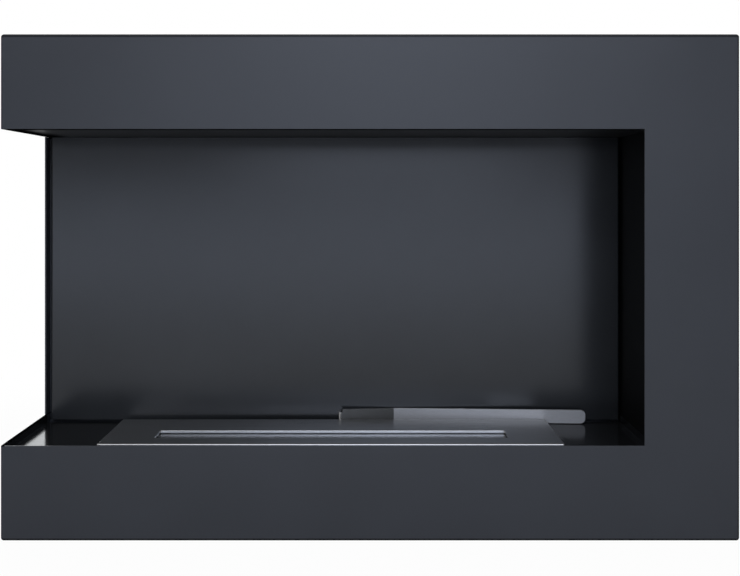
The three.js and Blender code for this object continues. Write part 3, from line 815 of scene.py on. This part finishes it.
def weld_metal():
    """Weld metal: rippled across its run, straw and blue where it was hottest."""
    weld = Finish("weld bead")
    heat = weld.noise(60.0, 3.0)
    ripple = weld.noise(620.0, 2.0)
    return weld.surface(
        Base_Color=weld.blend(heat.over(0.35, 0.7), (0.42, 0.40, 0.37, 1), (0.24, 0.25, 0.31, 1)),
        Metallic=1.0,
        Roughness=heat * 0.2 + 0.3,
        Normal=weld.bump(ripple, 0.5, 0.0004),
    )


BEAD = 0.0009
BEAD_DROP = 0.0011
BEAD_ROUNDING = BEAD * 0.45
CORE_DEPTH = 0.01
bead = brick(
    (tank_size.x + BEAD, tank_size.y + BEAD, BEAD * 2),
    (tank_middle.x, tank_middle.y, tank_high.z - BEAD_DROP),
)
rounded(bead, uprights(bead), TANK_CORNER, 8)
rims = [e for e in sharp_edges(bead, RIM_ANGLE) if not upright(e)]
rounded(bead, rims, BEAD_ROUNDING, 3)
core = brick(
    (tank_size.x - TANK_SHEET, tank_size.y - TANK_SHEET, CORE_DEPTH),
    (tank_middle.x, tank_middle.y, tank_high.z),
)
rounded(core, uprights(core), TANK_CORNER - TANK_SHEET / 2, 8)
bead = carved(bead, core)
new_piece("tank_weld", bead, "burner", weld_metal(), [])

# ---------------------------------------------------------------- wool pads
# Two pads of white ceramic wool fill most of the tank and soak up the fuel.
# They are cut from a blanket, so their faces are matted fibre and their edges are soft.


def ceramic_wool():
    """Matted fibre: off-white, tangled strands over soft lumps, a little greyer in the hollows as
    painted shade.
    """
    wool = Finish("ceramic wool")
    lumps = wool.noise(120.0, 4.0, 0.6)
    strands = wool.noise(1.0, 3.0, 0.7, wool.place((260, 1500, 900), (0.2, 0.1, 0.5)), 1.2)
    crossing = wool.noise(1.0, 3.0, 0.7, wool.place((1400, 240, 900), (0.1, 0.3, 0.4)), 1.2)
    tangle = strands * 0.5 + crossing * 0.5
    # Painted shade: the tone follows the bump, so the hollows come out greyer.
    tone = tangle * 0.6 + lumps * 0.4
    return wool.surface(
        Base_Color=wool.blend(tone.over(0.3, 0.7), (0.52, 0.49, 0.43, 1), (0.84, 0.82, 0.76, 1)),
        Roughness=lumps * 0.05 + 0.93,
        Normal=wool.bump(tangle * 0.65 + lumps * 0.35, 0.6, 0.0012),
    )


WOOL_CUTS = 63
WOOL_SOFTENING = 3
WOOL_DENT = 0.0012
LUMPS_PER_METRE = 110.0
LUMP_ROUGHNESS = 0.8
LUMP_RATIO = 2.0
LUMP_OCTAVES = 4
WOOL_SMOOTH_ANGLE = 60
fibre = ceramic_wool()
for side in ("left", "right"):
    low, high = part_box(f"wool_pad_{side}")
    pad = brick(high - low, (high + low) / 2)
    bmesh.ops.subdivide_edges(pad, edges=pad.edges, cuts=WOOL_CUTS, use_grid_fill=True)
    for _ in range(WOOL_SOFTENING):
        bmesh.ops.smooth_vert(
            pad, verts=pad.verts, factor=0.5, use_axis_x=True, use_axis_y=True, use_axis_z=True
        )
    pad.normal_update()
    for vert in pad.verts:
        place = vert.co * LUMPS_PER_METRE
        height = noise.fractal(place, LUMP_ROUGHNESS, LUMP_RATIO, LUMP_OCTAVES)
        vert.co -= vert.normal * WOOL_DENT * min(max(0.5 - 0.5 * height, 0), 1)
    nodes = [f"wool_pad_{side}"]
    new_piece(f"wool_{side}", pad, "burner", fibre, nodes, WOOL_SMOOTH_ANGLE)

# ---------------------------------------------------------------- shutter rails
# Two angle rails of the tank's sheet are welded under the plate.
# Their ledges carry the shutter's ends as it slides.

RAIL_EDGE = 0.0002
for side in ("left", "right"):
    softened(f"rail_{side}", [f"shutter_rail_{side}"], "burner", mill, RAIL_EDGE)

# ---------------------------------------------------------------- shutter
# The shutter is a 1.2 mm stainless plate with lips folded down front and back.
# A hole near its front edge takes the tool's finger, and closing it puts the flame out.

SHUTTER_EDGE = 0.00025
shutter_steel = brushed("worn stainless", (0.11, 0.11, 0.11), (0.17, 0.17, 0.17), 0.27, BRUSHING)
softened(
    "sliding_shutter", ["shutter_plate"], "shutter", shutter_steel, SHUTTER_EDGE
)

# ---------------------------------------------------------------- closing tool
# The loose tool is a 15 x 3 mm stainless bar, slightly bent, with a finger bent at its end.
# It is brushed to a fine satin, its shank is darker as painted shade, and its finger's end is lighter
# as a painted highlight.

tool_low, tool_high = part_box("closing_tool")
BEND = (0.0265, 0.0753)
FINGER_FRONT = 0.068
HANDLE_FRONT = 0.0625
BAR_THICKNESS = 0.003
FINGER_END = tool_low.x + 0.004
FINGER_INSET = 0.0032
FINGER_BEND = 0.0035
BEND_ROUNDING = 0.0003
END_CORNER = 0.0055
BAR_ROUNDING = 0.0005
BAR_ANGLE = 40
END_TOLERANCE = 1e-4
FINE_BRUSHING = (25, 2600, 2600)
# Painted shade on the shank, and a painted highlight on the finger's end.
SHANK_SHADE_TONE = (0.078, 0.078, 0.077)
SHANK_END = (BEND[0] - 0.0003, BEND[0] + 0.0003)
FINGER_GLINT_TONE = (0.95, 0.95, 0.955)
FINGER_GLINT_END = (-0.0309, -0.0303)

tool_steel = brushed(
    "satin stainless",
    (0.19, 0.188, 0.188),
    (0.25, 0.247, 0.247),
    0.44,
    FINE_BRUSHING,
    [("X", SHANK_END, SHANK_SHADE_TONE), ("X", FINGER_GLINT_END, FINGER_GLINT_TONE)],
    Anisotropic=0.9,
    Anisotropic_Rotation=0.25,
)
bar = bmesh.new()
course = [
    (tool_low.x, tool_high.y),
    (tool_low.x, FINGER_FRONT),
    BEND,
    (tool_high.x, HANDLE_FRONT),
]
path = [bar.verts.new((x, y, tool_low.z)) for x, y in course]
for pair in zip(path, path[1:]):
    bar.edges.new(pair)
grown = bmesh.ops.extrude_edge_only(bar, edges=bar.edges)["geom"]
top = [item for item in grown if isinstance(item, bmesh.types.BMVert)]
bmesh.ops.translate(bar, vec=(0, 0, tool_high.z - tool_low.z), verts=top)
for x, radius, segments in ((tool_low.x, FINGER_BEND, 8), (BEND[0], BEND_ROUNDING, 3)):
    fold = [e for e in uprights(bar) if e.is_manifold and abs(e.verts[0].co.x - x) < NEAR]
    rounded(bar, fold, radius, segments)
finger_low = tool_low.z + FINGER_INSET
finger_high = tool_high.z - FINGER_INSET
for point, across in (
    ((FINGER_END, 0, 0), (1, 0, 0)),
    ((0, 0, finger_low), (0, 0, 1)),
    ((0, 0, finger_high), (0, 0, 1)),
):
    everything = bar.verts[:] + bar.edges[:] + bar.faces[:]
    bmesh.ops.bisect_plane(bar, geom=everything, plane_co=point, plane_no=across)
waste = []
for face in bar.faces:
    middle = face.calc_center_median()
    if middle.x < FINGER_END and not finger_low < middle.z < finger_high:
        waste.append(face)
bmesh.ops.delete(bar, geom=waste, context="FACES")
bmesh.ops.solidify(bar, geom=bar.faces[:], thickness=-BAR_THICKNESS)
bmesh.ops.recalc_face_normals(bar, faces=bar.faces)
flattened(bar)
end_corners = [
    edge
    for edge in bar.edges
    if not upright(edge)
    and abs(edge.calc_length() - BAR_THICKNESS) < END_TOLERANCE
    and min(v.co.x for v in edge.verts) > tool_high.x - BAR_THICKNESS
]
rounded(bar, end_corners, END_CORNER, 10)
bmesh.ops.remove_doubles(bar, verts=bar.verts, dist=NEAR)
rounded(bar, sharp_edges(bar, BAR_ANGLE), BAR_ROUNDING, 3, clamped=False)
new_piece("shutter_tool", bar, "tool", tool_steel, ["closing_tool"])

# ---------------------------------------------------------------- floor
# A plain pale paper floor, which fades into the white surround away from the fireplace.
# It lies a hair below the fireplace, and the camera sees it nearly white.

FLOOR_SIZE = 12.0
FLOOR_DROP = 0.0002
FLOOR_FADE = (0.45, 1.2)
NEAR_WHITE = 0.97
shape = bmesh.new()
bmesh.ops.create_grid(shape, x_segments=1, y_segments=1, size=FLOOR_SIZE / 2)
bmesh.ops.translate(shape, vec=(0, 0, -FLOOR_DROP), verts=shape.verts)
floor_mesh = bpy.data.meshes.new("floor")
shape.to_mesh(floor_mesh)
shape.free()
floor = bpy.data.objects.new("floor", floor_mesh)
bpy.context.collection.objects.link(floor)
floor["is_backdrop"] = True

paper = Finish("pale floor")
distance = paper.node("ShaderNodeVectorMath", {"operation": "LENGTH"}, {0: paper.place()}, "Value")
mottle = paper.blend(paper.noise(40.0, 3.0), (0.78, 0.78, 0.78, 1), (0.81, 0.81, 0.81, 1))
matt = paper.node("ShaderNodeBsdfDiffuse", {}, {"Color": mottle})
white = paper.node("ShaderNodeEmission", {}, {"Color": (1, 1, 1, 1), "Strength": 1.0})
camera_ray = paper.node("ShaderNodeLightPath", output="Is Camera Ray")
whiteness = camera_ray * (distance.over(*FLOOR_FADE) * (1 - NEAR_WHITE) + NEAR_WHITE)
pale = paper.node("ShaderNodeMixShader", {}, {0: whiteness, 1: matt, 2: white})
paper.node("ShaderNodeOutputMaterial", {}, {"Surface": pale})
floor_mesh.materials.append(paper.material)

# ---------------------------------------------------------------- surround
# A white surround for the camera. Gloss mirrors it white behind and beside the fireplace, and
# as a dim room in front of it. Other light from it is only a soft fill.

SOFT_FILL = 0.17
ROOM = 0.13
ROOM_EDGE = (-0.6, -0.1)
world = bpy.data.worlds.new("surround")
bpy.context.scene.world = world
world.use_nodes = True
air = Finish("surround", world.node_tree)
seen, mirrored, through = [
    air.node("ShaderNodeLightPath", output=name)
    for name in ("Is Camera Ray", "Is Glossy Ray", "Is Transmission Ray")
]
direction = air.node("ShaderNodeTexCoord", output="Generated")
behind = air.axes("Y", direction)[0].over(*ROOM_EDGE)
fill = (1 - seen - mirrored - through) * SOFT_FILL
strength = seen + through + mirrored * (behind * (1 - ROOM) + ROOM) + fill
surround = air.node("ShaderNodeBackground", {}, {"Color": (1, 1, 1, 1), "Strength": strength})
air.node("ShaderNodeOutputWorld", {}, {"Surface": surround})

# ---------------------------------------------------------------- lamps
# Four soft boxes: a tall one and a low, wide one in front, one above, and one behind.
# The low one gives the brushed steel its gloss, and the one behind lights the tray's open end.


def soft_light(name, place, target, width, height, glow, colour):
    """A soft box pointed at a place. Its glow is what a mirror would show, where 1 is white."""
    light = bpy.data.lights.new(name, "AREA")
    light.shape = "RECTANGLE"
    light.size = width
    light.size_y = height
    light.energy = glow * math.pi * width * height
    light.color = colour
    lamp = bpy.data.objects.new(name, light)
    lamp.location = place
    aim = Vector(target) - Vector(place)
    lamp.rotation_euler = aim.to_track_quat("-Z", "Y").to_euler()
    lamp.visible_camera = False
    bpy.context.collection.objects.link(lamp)


SKY = (0.71, 0.80, 1.0)
COOL_WHITE = (0.96, 0.98, 1.0)
PALE_BLUE = (0.93, 0.97, 1.0)
soft_light("front_softbox", (0.10, -2.6, 1.34), (0.05, 0, 0.4), 0.90, 1.7, 3.15, SKY)
soft_light("low_softbox", (-0.07, -2.6, 0.19), (-0.07, 0, 0.19), 2.5, 0.36, 1.34, SKY)
soft_light("top_softbox", (0.0, -1.5, 1.9), (0, 0, 0.25), 2.0, 1.4, 2.2, COOL_WHITE)
soft_light("back_softbox", (-1.2, 3.0, 0.7), (-0.3, 0, 0.1), 1.0, 0.8, 1.9, PALE_BLUE)

# ---------------------------------------------------------------- camera
# The camera stands straight before the fireplace, a little above its middle.
# Its lens is shifted to keep the uprights parallel, as in the photograph.

camera_data = bpy.data.cameras.new("camera")
camera_data.sensor_width = 36.0
camera_data.lens = 64.74
camera_data.shift_x = 0.0088
camera_data.shift_y = -0.12885
camera = bpy.data.objects.new("camera", camera_data)
camera.location = (-0.0062, -1.360, 0.3298)
camera.rotation_euler = (math.pi / 2, 0, 0)
bpy.context.collection.objects.link(camera)
bpy.context.scene.camera = camera
bpy.context.scene.view_settings.view_transform = "Standard"

low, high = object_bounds()
